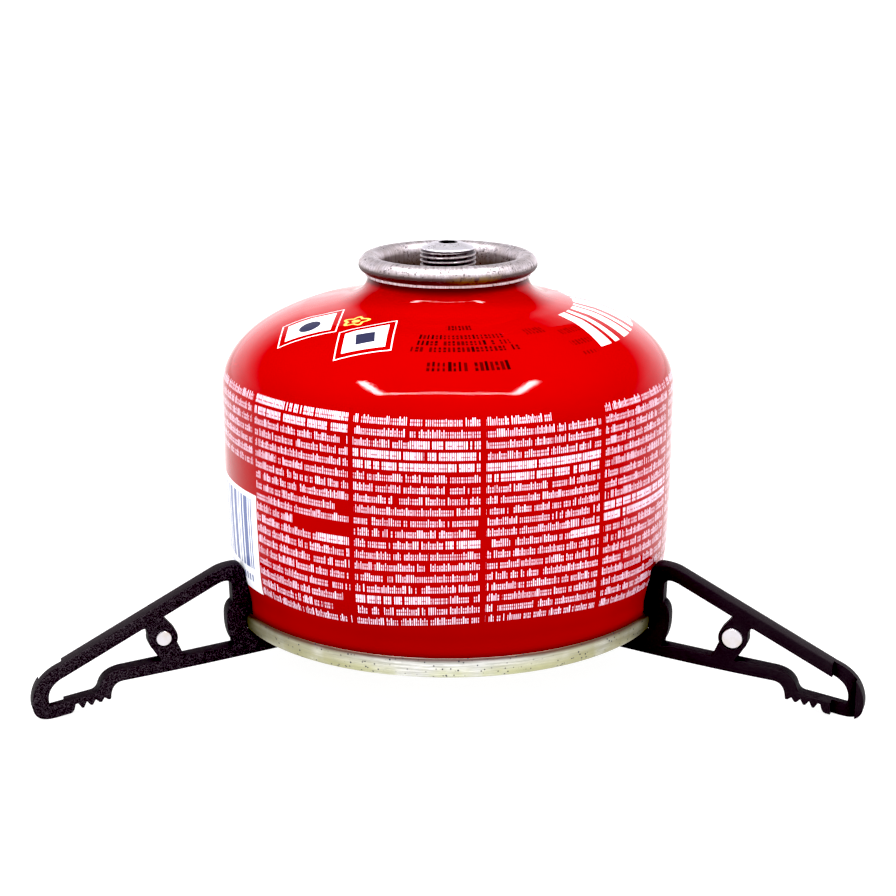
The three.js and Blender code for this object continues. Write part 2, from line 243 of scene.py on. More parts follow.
def bezier(points, steps):
    """Points along a Bezier curve, without its first."""
    made = []
    for i in range(1, steps + 1):
        t, row = i / steps, points
        while len(row) > 1:
            row = [tuple(a + (b - a) * t for a, b in zip(p, q)) for p, q in zip(row, row[1:])]
        made.append(row[0])
    return made


def flowing(points, steps):
    """A smooth line through the points."""
    ends = [points[0], *points, points[-1]]
    made = [points[0]]
    for p0, p1, p2, p3 in zip(ends, ends[1:], ends[2:], ends[3:]):
        for i in range(1, steps + 1):
            t = i / steps
            made.append(tuple(
                0.5 * (2 * b + (c - a) * t + (2 * a - 5 * b + 4 * c - d) * t**2
                       + (3 * b - a - 3 * c + d) * t**3)
                for a, b, c, d in zip(p0, p1, p2, p3)
            ))
    return made


def inset(line, by):
    """The same line one sheet further in."""
    made = []
    for i, (r, z) in enumerate(line):
        r0, z0 = line[max(i - 1, 0)]
        r1, z1 = line[min(i + 1, len(line) - 1)]
        length = hypot(r1 - r0, z1 - z0)
        made.append((r - by * (z1 - z0) / length, z + by * (r1 - r0) / length))
    return made


def turned(name, profile, sides, swell=None):
    """A closed outline of (radius, height) points turned about the Z axis.

    swell gives the radius of a point from its radius, height and share of a turn.
    """
    mesh = bmesh.new()
    rings = []
    for r, z in profile:
        if r < TINY:
            rings.append([mesh.verts.new((0, 0, z))] * sides)
            continue
        ring = []
        for k in range(sides):
            a = 2 * pi * k / sides
            rr = r if swell is None else swell(r, z, k / sides)
            ring.append(mesh.verts.new((rr * cos(a), rr * sin(a), z)))
        rings.append(ring)
    hollow = profile[0][0] > TINY or profile[-1][0] > TINY
    following = rings[1:] + rings[:1] if hollow else rings[1:]
    for low, high in zip(rings, following):
        for k in range(sides):
            j = (k + 1) % sides
            corners = list(dict.fromkeys((low[k], low[j], high[j], high[k])))
            if len(corners) > 2:
                mesh.faces.new(corners)
    bmesh.ops.recalc_face_normals(mesh, faces=mesh.faces)
    made = bpy.data.meshes.new(name)
    mesh.to_mesh(made)
    mesh.free()
    return made


# ---- canister: shapes --------------------------------------------------------

SHEET = 0.45
WALL_R = 45.1
SHOULDER_Z = 46
RIM_R = 44.45
RIM_H = 4.2
RING_R, RING_Z, RING_TUBE_R = 15.6, 70.0, 2.1
BEAD_TUBE_R = 0.85  # the can's own curled edge, inside the rolled ring
WALL_SIDES, ROOM_SIDES, CUP_SIDES, SMALL_SIDES = 320, 256, 160, 64

can_wall = flowing(
    [(43.3, 1.5), (43.3, 6.2), (43.9, 9.4), (44.45, 12.2), (44.8, 17), (WALL_R, 26)], 8
)
can_wall += [(WALL_R, 36), (WALL_R, SHOULDER_Z)]
can_shoulder = bezier([(WALL_R, SHOULDER_Z), (WALL_R, 54), (37, 59.1), (29, 61.5)], 40)
can_neck = flowing(
    [(29, 61.5), (24.5, 62.45), (20.5, 63.35), (18, 64.5), (16.6, 65.8), (15.825, 67.6)], 8
)[1:]
can_outside = can_wall + can_shoulder + can_neck
can_bead = arc(RING_R, RING_Z, BEAD_TUBE_R, -70, 250, 14)
can_profile = can_outside + can_bead + inset(can_outside, SHEET)[::-1]

# The base is domed inwards, and its edge is folded round the wall's.
DOME_R = 42.0
DOME_EDGE_Z, DOME_TOP_Z = 6.2, 13.2
DOME_LIP = 1.6  # the dome's arc stops this far inside its edge
dome_rise = DOME_TOP_Z - DOME_EDGE_Z
dome_radius = (DOME_R**2 + dome_rise**2) / (2 * dome_rise)
dome_deg = 90 - 180 / pi * atan2(DOME_R - DOME_LIP, dome_radius - dome_rise)
dome_z = DOME_TOP_Z - dome_radius
seam = flowing(
    [(42.0, 5.2), (42.0, 1.2), (42.35, 0.2), (43.0, 0.0), (43.9, 0.45), (44.35, 1.4),
     (RIM_R, 2.5), (44.35, 3.7), (44.1, RIM_H), (43.8, 4.1), (43.8, 3.4)], 6
)
base_profile = (
    arc(0, dome_z, dome_radius - SHEET, 90, dome_deg, 24)
    + seam
    + [(43.8, 0.9), (42.45, 0.9), (42.45, 5.5)]
    + arc(0, dome_z, dome_radius, dome_deg, 90, 24)
)
base_profile[0] = (0.0, base_profile[0][1])
base_profile[-1] = (0.0, base_profile[-1][1])

# ---- valve cup with its rolled ring and threaded neck ------------------------

THREAD_R, THREAD_DEPTH, THREAD_PITCH = 5.55, 0.5, 0.907
THREAD_LOW_Z, THREAD_HIGH_Z = 64.6, 73.0
THREAD_STEP = 0.07
THREAD_RUN_OUT = 0.5
FLANK_SLOPE, CREST_WIDTH = 3.0, 0.28  # over a pitch taken as 1
CUP_FLOOR_Z = 62.6
NECK_TOP_Z = 74.3
NECK_BORE_R = 4.4


def threaded(r, z, turn):
    """The neck's radius, with one right-hand ridge a pitch rising round it."""
    if r != THREAD_R or not THREAD_LOW_Z <= z <= THREAD_HIGH_Z:
        return r
    place = (z / THREAD_PITCH - turn) % 1
    groove = min(1, max(0, abs(place - 0.5) * FLANK_SLOPE - CREST_WIDTH))
    lead = min(1, (z - THREAD_LOW_Z) / THREAD_PITCH, (THREAD_HIGH_Z - z) / THREAD_RUN_OUT)
    return THREAD_R - THREAD_DEPTH * (1 - lead * (1 - groove))


thread_rows = ceil((THREAD_HIGH_Z - THREAD_LOW_Z) / THREAD_STEP)
ROLL_END_DEG = -60
ROLL_DROP, ROLL_DROP_IN = 1.45, 1.05  # the roll's underside is flatter than its top


def roll(tube_r, drop, start_deg, end_deg, steps):
    """The rolled ring's section, with its lower half flattened."""
    points = arc(RING_R, RING_Z, tube_r, start_deg, end_deg, steps)
    return [(r, z if z > RING_Z else RING_Z - (RING_Z - z) * drop / tube_r) for r, z in points]


lip = [(15.98, 68.85), (15.98, 68.05), (16.06, 67.97), (16.32, 67.97), (16.42, 68.07), (16.44, 68.5)]
cup_profile = (
    lip
    + roll(RING_TUBE_R, ROLL_DROP, ROLL_END_DEG, 180, 44)
    + [(13.5, 66.5)]
    + bezier([(13.5, 64.4), (13.45, 62.65), (11.9, CUP_FLOOR_Z)], 8)
    + [(9.0, CUP_FLOOR_Z)]
    + bezier([(7.0, CUP_FLOOR_Z), (5.3, 62.7), (5.05, 64.2)], 6)
    + [
        (THREAD_R, THREAD_LOW_Z + (THREAD_HIGH_Z - THREAD_LOW_Z) * i / thread_rows)
        for i in range(thread_rows + 1)
    ]
    + flowing([(5.35, 73.15), (5.1, 73.42), (3.9, 73.86), (2.7, NECK_TOP_Z), (2.0, NECK_TOP_Z)], 3)
    + [(1.78, 74.2), (1.75, 73.85), (4.0, 73.0), (NECK_BORE_R, 72.6)]
    + [(NECK_BORE_R, 62.15), (12.3, 62.15), (13.95, 63.8)]
    + roll(RING_TUBE_R - SHEET, ROLL_DROP_IN, 180, ROLL_END_DEG, 36)
)

# ---- valve insert ------------------------------------------------------------

housing_profile = [
    (0.8, 62.2), (3.78, 62.2), (4.28, 62.7), (4.28, 71.2), (3.48, 71.2), (3.48, 63.4), (0.8, 63.4)
]
stem_profile = [
    (0, 68.0), (1.2, 68.0), (1.4, 69.6), (2.8, 69.6), (2.9, 69.7), (2.9, 70.8), (2.2, 71.1),
    (1.2, 71.1), (1.2, 72.7), (1.12, 72.9), (0.9, 73.0), (0, 73.0)
]

# ---- legs: shapes ------------------------------------------------------------
# +X runs along the leg from the hub, +Y across the plate to its grained face.

PLATE = 3.2
HALF_PLATE = PLATE / 2
EDGE_ROUND = 0.22
FLOOR_Z = -12.6
EYE_PITCH, EYE_H, EYE_R = 2.7, 2.2, 6.0
EYE_LOW_Z = -0.4
TONGUE_X = 9.5  # how far the eye's tongue reaches into the plate
HUB_BORE_R = 2.06
PIN_AT = (60.7, 0.9)
PIN_SMALL_R, PIN_LARGE_R = 1.54, 2.08
BOSS_AT, BOSS_R = (60.85, 0.9), 2.9
RUN_GAP = 0.06
TEETH, TEETH_END_X, TEETH_LOW_Z = 4, 77.0, -11.2
TOOTH_PITCH, TOOTH_RISE = 1.72, 0.33
ROOTS_LOW_Z, ROOT_RISE = -10.15, 0.15
FOOT_SLOT_X, FOOT_SLOT_DEPTH = (80.3, 84.9), 1.4
CURVE_STEPS = 12


def outline(start, *runs):
    """A line of straight points, with Bezier runs given as lists of their later points."""
    made = [start]
    for run in runs:
        made += bezier([made[-1], *run], CURVE_STEPS) if isinstance(run, list) else [run]
    return made


def leg_edge(level):
    """The leg's outer edge; level counts its eye's place on the hub from the bottom."""
    low = EYE_LOW_Z + level * EYE_PITCH
    high = low + EYE_H
    teeth = []
    for i in reversed(range(TEETH)):
        tip, tip_z = TEETH_END_X - i * TOOTH_PITCH, TEETH_LOW_Z + i * TOOTH_RISE
        teeth += [(tip - 0.25, tip_z), (tip + 0.2, tip_z), (tip + 0.9, ROOTS_LOW_Z + i * ROOT_RISE)]
    return outline(
        (6.4, low), (TONGUE_X, min(low, 0.6)),
        [(36.5, -4.5), (69, -6.72)], [(71.3, -6.9), (71.45, -9.9)],
        *teeth, (78.35, -10.3),
        [(78.6, -12), (79.6, -12.05)], (82.2, -12.48), (83.4, FLOOR_Z),
        [(87.0, FLOOR_Z), (86.5, -8.4)], [(85.8, -3.7), (80.8, -1.78)],
        (50.2, 13.52), [(48.6, 14.3), (46.2, 14.4)], [(44.5, 14.3), (44.2, 12.6)],
        (43.0, 8), (42.6, 6.4), (42.6, -0.3), (40.8, -0.3), (16, 3.3), (10, max(high, 4.2)),
        (6.4, high),
    )


inner_window = outline(
    (47, -2.4), (56.8, -3.3), (58, -0.4), *arc(*BOSS_AT, BOSS_R, 205, 135, 12),
    (60.7, 5.3), (49.6, 10.85), [(47.2, 11.8), (46.95, 10.2)], (46.85, 6.7),
    [(48.2, 5.8), (48.15, 3.4)], [(48.2, 0.2), (47.05, -1.8)],
)
outer_window = outline(
    (61.5, -3.6), (68.5, -4.2), [(72.6, -4.4), (73.6, -7.2)], [(73.9, -8.5), (75, -8.7)],
    (83.2, -9.95), [(84.1, -6), (80, -4.3)], (65, 3.2), [(64, 3.7), (63.8, 2.4)],
    *arc(*BOSS_AT, BOSS_R, 10, -42, 12),
)


def plate(lines):
    """A flat plate with rounded edges from closed lines, standing in the XZ plane."""
    curve = bpy.data.curves.new("plate", "CURVE")
    curve.dimensions = "2D"
    curve.fill_mode = "BOTH"
    curve.extrude = HALF_PLATE - EDGE_ROUND
    curve.bevel_depth = EDGE_ROUND
    curve.bevel_resolution = 2
    curve.offset = -EDGE_ROUND
    for line in lines:
        spline = curve.splines.new("POLY")
        spline.points.add(len(line) - 1)
        for point, (x, z) in zip(spline.points, line):
            point.co = (x, z, 0, 1)
        spline.use_cyclic_u = True
    holder = bpy.data.objects.new("plate", curve)
    scene.collection.objects.link(holder)
    mesh = bpy.data.meshes.new_from_object(holder)
    bpy.data.objects.remove(holder)
    mesh.transform(Matrix.Rotation(radians(90), 4, "X"))
    return mesh


def combined(name, base, cuts_and_joins):
    """A mesh with others joined to it or cut from it, in order."""
    made = bpy.data.objects.new(name, base)
    scene.collection.objects.link(made)
    helpers = []
    for operation, mesh in cuts_and_joins:
        other = bpy.data.objects.new(name, mesh)
        scene.collection.objects.link(other)
        other.hide_render = True
        helpers.append(other)
        step = made.modifiers.new("step", "BOOLEAN")
        step.operation = operation
        step.object = other
        step.solver = "EXACT"
    shaped = bpy.context.evaluated_depsgraph_get()
    result = bpy.data.meshes.new_from_object(made.evaluated_get(shaped))
    for helper in (made, *helpers):
        bpy.data.objects.remove(helper)
    return result


def rod(r, low, high, at=(0, 0), along_y=False):
    """A plain round rod used for joining and cutting."""
    mesh = turned("rod", [(0, low), (r, low), (r, high), (0, high)], SMALL_SIDES)
    if along_y:
        mesh.transform(Matrix.Translation((at[0], 0, at[1])) @ Matrix.Rotation(radians(-90), 4, "X"))
    else:
        mesh.transform(Matrix.Translation((at[0], at[1], 0)))
    return mesh


def block(x0, x1, y0, y1, z0, z1):
    """A plain block used for joining and cutting."""
    mesh = bmesh.new()
    bmesh.ops.create_cube(mesh, size=1)
    for vert in mesh.verts:
        x, y, z = vert.co
        vert.co = (x0 + (x + 0.5) * (x1 - x0), y0 + (y + 0.5) * (y1 - y0), z0 + (z + 0.5) * (z1 - z0))
    made = bpy.data.meshes.new("block")
    mesh.to_mesh(made)
    mesh.free()
    return made


# Room for the canister's wall and bottom seam, cut out of the legs.
canister_room = [
    (41.5, -0.3), (43.4, -0.3), (44.2, 0.2), (44.52, 1.2), (44.52, 3.9), (44.25, 4.27),
    (43.45, 4.27), (43.45, 6.4), (44.05, 9.4), (44.6, 12.2), (44.95, 17), (41.5, 17),
]


def leg_mesh(level, shift):
    """One leg about the middle of its plate; the hub's axis lies at y = -shift."""
    z = EYE_LOW_Z + level * EYE_PITCH
    half = HALF_PLATE
    room = turned("room", canister_room, ROOM_SIDES)
    room.transform(Matrix.Translation((0, -shift, 0)))
    return combined("leg", plate([leg_edge(level), inner_window, outer_window]), [
        ("UNION", rod(EYE_R, z, z + EYE_H, (0, -shift))),
        ("UNION", block(0, TONGUE_X, -half, half, z, z + EYE_H)),
        ("DIFFERENCE", rod(HUB_BORE_R, z - 1, z + EYE_H + 4, (0, -shift))),
        ("DIFFERENCE", rod(PIN_LARGE_R + RUN_GAP, -half - 1, 0, PIN_AT, True)),
        ("DIFFERENCE", rod(PIN_SMALL_R + RUN_GAP, -0.1, half + 1, PIN_AT, True)),
        ("DIFFERENCE", block(*FOOT_SLOT_X, -half - 1, -half + FOOT_SLOT_DEPTH, -20, 0)),
        ("DIFFERENCE", room),
    ])


def pin_mesh():
    """The stepped pin through the leg's boss."""
    half = HALF_PLATE
    section = [
        (0, -half), (1.9, -half), (PIN_LARGE_R, -half + 0.15), (PIN_LARGE_R, -0.05),
        (PIN_SMALL_R, -0.05), (PIN_SMALL_R, half - 0.12), (1.4, half), (0, half),
    ]
    mesh = turned("pin", section, SMALL_SIDES)
    mesh.transform(
        Matrix.Translation((PIN_AT[0], 0, PIN_AT[1])) @ Matrix.Rotation(radians(-90), 4, "X")
    )
    return mesh


# ---- materials ---------------------------------------------------------------

PIT_DARK = (0.05, 0.03, 0.03)
PAPER_WHITE = (0.92, 0.92, 0.94)
PRINT_PINK = (0.90, 0.80, 0.97)
COLUMN_DEG = 31.1  # columns of small print round the wall
COLUMN_EDGE_DEG = -22.9
LINE_PITCH = 2.088
FIRST_LINE_Z = 50.34
LETTER_H, LETTER_FOOT = 1.42, 0.45
# The lower rows rise and fall a little on their way round, and the lowest drift down.
WAVE_CREST_DEG, WAVES_ROUND, WAVE_TOP_Z, WAVE_GROWTH = 16.5, 3.75, 40.0, 0.026
DRIFT_TOP_Z, DRIFT_GROWTH = 29.0, 0.03
LAST_ROW, LAST_SHORT_ROW = 18.5, 6.5
SHORT_EDGE_DEG, FULL_EDGE_DEG, PRINT_END_DEG = -85.0, -54.0, 157.6
DEG_TO_WALL = WALL_R * pi / 180
DEG_TO_SHOULDER = 0.54  # at the middle of the shoulder's print


def small_print(s, along, up, row, advance, height, bold):
    """Rows of little blocks that stand in for lines of print and spell nothing.

    advance is the width of a block with its gap, and height that of the tallest block.
    """
    place = along / advance
    number, across = place.floor(), place.fract()
    first, second = s.chance(number, row), s.chance(number, row + 0.5)
    level = up / height
    top = second.above(0.7).most(bold) * 0.26 + 0.74
    width = first * 0.34 + (0.28 + 0.16 * bold)
    split = level.between(0.3, 0.5, 0.1) * second.between(0.2, 0.75)
    block = across.between(0.0, width, 0.12) * level.between(0.0, top, 0.1)
    strength = 0.2 * bold + (0.66 + 0.3 * second)
    return block * (1 - 0.7 * split) * first.above(0.1) * strength.least(1.0)


def print_block(s, deg, r, lines):
    """Block print on circles, given by middle radius, height, and first and last degree."""
    up = where = number = 0.0
    for i, (middle, tall, first, last) in enumerate(lines):
        here = r.between(middle - tall / 2, middle + tall / 2, 0.01) * deg.between(first, last)
        up = here * ((middle + tall / 2 - r) / tall) + up
        where, number = here + where, here * i + number
    return small_print(s, deg * DEG_TO_SHOULDER, up, number, 0.8, 1.0, 0.6) * where


def quad_depth(s, corners):
    """How far a plan point lies inside a four-cornered outline, in mm."""
    depth = None
    for (x0, y0), (x1, y1) in zip(corners, corners[1:] + corners[:1]):
        length = hypot(x1 - x0, y1 - y0)
        nx, ny = (y1 - y0) / length, -(x1 - x0) / length
        side = s.x * nx + s.y * ny - (x0 * nx + y0 * ny)
        depth = side if depth is None else depth.least(side)
    return depth


def can_paint():
    s = Surface("red_lacquer_with_print")
    x, y, z = s.x, s.y, s.z
    r = (x * x + y * y).math("SQRT")
    deg = x.math("ARCTAN2", y * -1) * (180 / pi)

    # Small print on the wall.
    place = (deg - COLUMN_EDGE_DEG) / COLUMN_DEG
    column, across = place.floor(), place.fract()
    crests = ((deg - WAVE_CREST_DEG) * radians(WAVES_ROUND)).math("COSINE")
    wave = crests * (WAVE_TOP_Z - z).most(0.0) * WAVE_GROWTH
    drift = (DRIFT_TOP_Z - z).most(0.0) * DRIFT_GROWTH
    line = (FIRST_LINE_Z + wave - drift - z) / LINE_PITCH
    row, up = line.floor(), (1 - line.fract()) * LINE_PITCH - LETTER_FOOT
    # Bold stretches, by column, row and place across the column.
    bold = (
        column.between(-1.5, -0.5) * row.between(-0.5, 1.5)
        + column.between(-0.5, 0.5) * row.between(2.5, 4.5)
        + column.between(-0.5, 0.5) * row.between(1.5, 2.5) * across.above(0.45)
        + column.between(0.5, 1.5) * row.between(3.5, 5.5)
        + column.between(-1.5, 1.5) * row.between(10.5, 11.5) * across.above(0.7)
        + column.between(1.5, 2.5) * row.between(8.5, 10.5)
        + column.between(-0.5, 0.5) * row.between(15.5, 16.5) * across.below(0.6)
    ).least(1.0)
    in_column = across.between(0.02, 0.974, 0.004)
    ending = 1 - across.above(0.45 + 0.5 * s.chance(row, column)) * s.chance(column, row).above(0.93)
    full = deg.between(FULL_EDGE_DEG, PRINT_END_DEG, 0.1) * row.between(-0.5, LAST_ROW)
    part = deg.between(SHORT_EDGE_DEG, FULL_EDGE_DEG, 0.1) * row.between(-0.5, LAST_SHORT_ROW)
    where = full.most(part) * in_column * ending
    wall_print = small_print(s, deg * DEG_TO_WALL, up, row + column * 37.0, 0.4, LETTER_H, bold)
    ink = wall_print * where

    # White panel with plain bars and a row of ticks under them.
    panel = deg.between(-80.5, -53.9, 0.2) * z.between(9.9, 30.1, 0.1)
    bars = s.chance((deg / 0.55).floor(), 3.0).above(0.45) * deg.between(-78.5, -56.4, 0.2)
    bars = bars * z.between(14.6, 29.0, 0.1)
    ticks = (deg / 1.5).fract().below(0.5) * deg.between(-76.5, -57.5, 0.2)
    ticks = ticks * z.between(11.8, 13.2, 0.1)

    # Two framed labels on the shoulder, one with a disc and one with a square.
    label_a = quad_depth(s, [(-31.9, -11.7), (-19.9, -10.4), (-20.9, -22.3), (-32.3, -20.4)])
    label_b = quad_depth(s, [(-20.4, -22.9), (-9.4, -20.6), (-10.3, -32.3), (-21.1, -31.5)])
    label = label_a.most(label_b)
    frame_line = label.between(0.05, 0.27, 0.1)
    sheet = label.above(1.35, 0.1)
    disc_x, disc_y = x + 26.3, y + 16.6
    mark_a = (disc_x * disc_x + disc_y * disc_y).math("SQRT").below(2.1, 0.1)
    mark_b = (x + 15.3).size().most((y + 26.9).size()).below(1.8, 0.1)

    # A small gold rosette.
    ex, ey = x + 17.4, y + 18.6
    far = (ex * ex + ey * ey * 1.5).math("SQRT")
    petals = (ex.math("ARCTAN2", ey) * 5.0).math("SINE")
    rosette = (far - petals * 0.45).between(1.75, 2.4, 0.15).most(far.between(-1, 0.8, 0.15))

    # Plain slanted white bars on the right shoulder, running round to the back.
    lean = deg + (r - 31.0) * 0.55
    step = (lean - 54.0) / 15.5
    stripe = step.fract().between(0.06, 0.44, 0.02).most(step.fract().between(0.6, 0.8, 0.02))
    stripes = stripe * r.between(24.9, 36.6, 0.15) * lean.between(54.0, 131.0, 0.2)

    # Lines of print round the shoulder, dark in front and faint to the right.
    dark = print_block(s, deg, r, (
        (25.1, 2.2, -0.8, 11.2), (29.1, 1.7, -10.6, 20.6), (31.2, 1.5, -10.9, 21.2),
        (33.1, 1.5, -12.1, 23.2), (37.3, 2.1, -6.4, 17.3), (28.6, 2.4, 29.5, 38.0),
        (30.6, 1.8, 43.0, 54.0), (34.2, 1.4, 42.0, 54.5), (37.0, 0.8, 43.0, 49.0),
    ))
    dark = dark * deg.above(26.0, 1.0, 0.95, 0.5)

    on_top = z.above(52.0)
    tone = s.noise(0.05, 2.0)
    red = s.mix(tone, (0.29, 0.0, 0.001), (0.34, 0.0, 0.001))
    low = z.below(14.0, 12.0)
    # Painted shadow on the neck just under the ring's lip, and the paint a little darker towards the
    # bottom.
    lip_shadow_and_low_dark = (z.above(67.0, 0.9) * 0.85).most(low * 0.22)
    red = s.mix(lip_shadow_and_low_dark, red, (0.07, 0.0, 0.0))
    colour = s.mix(ink, red, PRINT_PINK)
    colour = s.mix(panel, colour, (0.86, 0.88, 0.93))
    colour = s.mix(panel * bars.most(ticks), colour, (0.13, 0.16, 0.31))
    colour = s.mix(on_top * frame_line.most(sheet), colour, PAPER_WHITE)
    colour = s.mix(on_top * sheet * mark_a.most(mark_b), colour, (0.03, 0.03, 0.06))
    colour = s.mix(on_top * rosette * 0.9, colour, (0.78, 0.6, 0.13))
    colour = s.mix(on_top * stripes, colour, PAPER_WHITE)
    colour = s.mix(on_top * dark, colour, (0.012, 0.002, 0.004))
    wear = s.noise(0.6, 5.0)
    roughness = 0.06 + 0.05 * wear + 0.3 * low
    waves = s.noise(0.12, 2.0, 0.4) * 0.6 + s.noise(2.0, 2.0) * 0.02
    return s.finish(colour, roughness, waves, 0.1, Specular_IOR_Level=0.12)


def metal(name, colour, dark, roughness):
    """Steel with a fine grain and faint straw-coloured stains."""
    s = Surface(name)
    grain = s.noise(3.0, 4.0, 0.6)
    cloud = s.noise(0.35, 4.0, 0.6)
    tint = s.mix(grain, dark, colour)
    tint = s.mix(cloud.above(0.6, 0.25) * 0.35, tint, (0.45, 0.36, 0.2))
    return s.finish(tint, roughness * 0.7 + roughness * 0.6 * grain, grain * 0.1, 0.08, Metallic=1.0)


def cup_metal():
    """The ring's steel: drawn hairlines, dark specks and brown stains, with painted shade inside the
    cup, in the thread's grooves and down the bore, a painted highlight on the neck's top, and a dark
    brown band on the roll's underside.
    """
    s = Surface("cup_steel")
    r = (s.x * s.x + s.y * s.y).math("SQRT")
    around = s.x.math("ARCTAN2", s.y * -1) * RING_R
    hair = s.noise(1.0, 4.0, 0.65, at=(around * 3.0, s.z * 0.35, r * 0.35))
    cloud = s.noise(0.3, 4.0, 0.65)
    lower = s.z.above(68.6, 0.15) * s.z.below(70.4, 0.7) * r.above(RING_R, 1.0)
    inside = r.below(RING_R - 1.2, 1.6) * s.z.below(69.6, 3.0)
    groove = r.below(THREAD_R - 0.16, 0.22) * s.z.below(THREAD_HIGH_Z + 0.1, 0.2)
    top = r.below(THREAD_R, 0.2) * s.z.above(THREAD_HIGH_Z + 0.1, 0.2)
    tint = s.mix(hair.above(0.5, 0.24), (0.52, 0.46, 0.49), (0.84, 0.79, 0.84))
    tint = s.mix(cloud.above(0.5, 0.3) * (0.45 + 0.4 * lower), tint, (0.40, 0.31, 0.27))
    # The roll's underside is painted dark brown and made less metallic.
    dark_underside = lower * (0.8 + 0.5 * cloud).least(1.0)
    tint = s.mix(dark_underside, tint, (0.06, 0.038, 0.037))
    # Painted shade inside the cup, below the ring.
    tint = s.mix(inside * 0.85, tint, (0.18, 0.13, 0.10))
    # Painted shade in the thread's grooves and down the bore.
    tint = s.mix(groove * 0.76, tint, (0.02, 0.014, 0.016))
    # Painted highlight: the neck's top is made lighter than the rest of the steel.
    tint = s.mix(top * 0.8, tint, (0.9, 0.87, 0.93))
    # Painted shade: the mouth of the bore at the neck's middle is made near black.
    tint = s.mix(r.below(1.9, 0.1), tint, (0.02, 0.015, 0.015))
    front_stain = (s.x - 5.5).size().below(4.5, 4.0) * s.y.below(0.0)
    front_stain = front_stain * s.noise(0.5, 3.0).above(0.48, 0.12)
    tint = s.mix(front_stain * lower * 0.45, tint, (0.26, 0.18, 0.06))
    crowd = s.noise(0.4, 4.0) + 0.1 * lower + 0.05 * s.x.above(8.0, 4.0)
    pits = s.noise(1.7, 5.0, 0.75).above(0.565, 0.05) * crowd.above(0.51, 0.1)
    tint = s.mix(pits * 0.85, tint, PIT_DARK)
    plug(s.tree, s.shader.inputs["Metallic"], 1 - 0.85 * lower)
    return s.finish(tint, 0.4 + 0.14 * hair, hair * 0.2 + pits * -0.4, 0.06)


def seam_metal():
    """Tinplate of the bottom seam: greyer above, straw-coloured below, with scratches."""
    s = Surface("tinplate_seam")
    deg = s.x.math("ARCTAN2", s.y * -1) * (180 / pi)
    around = deg * DEG_TO_WALL
    streaks = s.noise(1.0, 4.0, 0.6, at=(around * 0.08, s.z * 1.6, 0.0))
    cloud = s.noise(0.12, 3.0, 0.6, at=(around, s.z * 0.6, 4.0))
    lower = s.z.below(2.2, 1.6)
    tint = s.mix(streaks.above(0.5, 0.3), (0.42, 0.42, 0.38), (0.86, 0.86, 0.83))
    tint = s.mix(lower * cloud.above(0.46, 0.25) * 0.8, tint, (0.54, 0.55, 0.30))
    # The seam is painted darker towards the sides, in olive patches, and darker still round the back.
    aside = deg.size().above(20.0, 24.0) * cloud.above(0.38, 0.3)
    tint = s.mix(aside * 0.7, tint, (0.34, 0.32, 0.17))
    tint = s.mix(deg.size().above(48.0, 30.0) * 0.7, tint, (0.2, 0.17, 0.09))
    scratches = s.noise(1.0, 3.0, 0.7, at=(around * 0.3, s.z * 8.0, 2.0))
    tint = s.mix(scratches.above(0.55, 0.08) * 0.4, tint, (0.30, 0.31, 0.27))
    # Painted shadow along the top of the seam, under the wall.
    edge = s.z.above(3.6, 0.6) * (s.x * s.x + s.y * s.y).math("SQRT").above(43.4, 0.4)
    tint = s.mix(edge * 0.9, tint, (0.12, 0.05, 0.04))
    spots = s.cells(1.2)
    pits = spots.below(0.2, 0.08) * s.noise(0.3, 2.0).above(0.5, 0.08)
    tint = s.mix(pits, tint, (0.06, 0.06, 0.08))
    relief = streaks * 0.4 + scratches * 0.3 + pits * -0.5
    return s.finish(tint, 0.38 + 0.25 * cloud, relief, 0.06, Metallic=1.0)


def leg_plastic():
    """Black plastic: coarse spark-eroded grain on the +Y face, finer elsewhere."""
    s = Surface("black_plastic")
    coarse = s.cells(4.2)
    fine = s.noise(4.0, 3.0)
    grained = s.y.above(HALF_PLATE - 0.15, 0.1)
    relief = coarse * grained + fine * (0.25 - 0.15 * grained)
    tone = s.noise(0.2, 3.0)
    base = s.mix(tone, (0.018, 0.0152, 0.0167), (0.023, 0.0193, 0.0216))
    glint = grained * coarse.above(0.6, 0.14)
    colour = s.mix(glint * 0.34, base, (0.10, 0.082, 0.098))
    return s.finish(colour, 0.5 + 0.2 * fine, relief, 0.22, Specular_IOR_Level=0.08)


def plain(name, low, high, scale, roughness):
    """A soft or moulded part with a slight mottling."""
    s = Surface(name)
    mottle = s.noise(scale, 4.0)
    return s.finish(s.mix(mottle, low, high), roughness + 0.15 * mottle, mottle, 0.03)


def carried(name, material):
    """A CAD node that keeps its shape and gets a node material."""
    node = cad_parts[name]
    node.data.materials.clear()
    node.data.materials.append(material)


# ---- pieces ------------------------------------------------------------------

cup_steel = cup_metal()
bright_steel = metal("bright_steel", (0.64, 0.61, 0.64), (0.54, 0.52, 0.55), 0.36)
dark_steel = metal("dark_steel", (0.16, 0.15, 0.15), (0.08, 0.07, 0.07), 0.45)
wire_steel = metal("wire_steel", (0.6, 0.6, 0.62), (0.45, 0.45, 0.47), 0.3)
plastic = leg_plastic()
rubber = plain("rubber", (0.015, 0.015, 0.015), (0.03, 0.03, 0.03), 1.5, 0.75)
sealing = plain("sealing_compound", (0.24, 0.2, 0.13), (0.34, 0.29, 0.2), 0.8, 0.6)
acetal = plain("acetal", (0.72, 0.7, 0.63), (0.8, 0.78, 0.72), 0.8, 0.35)

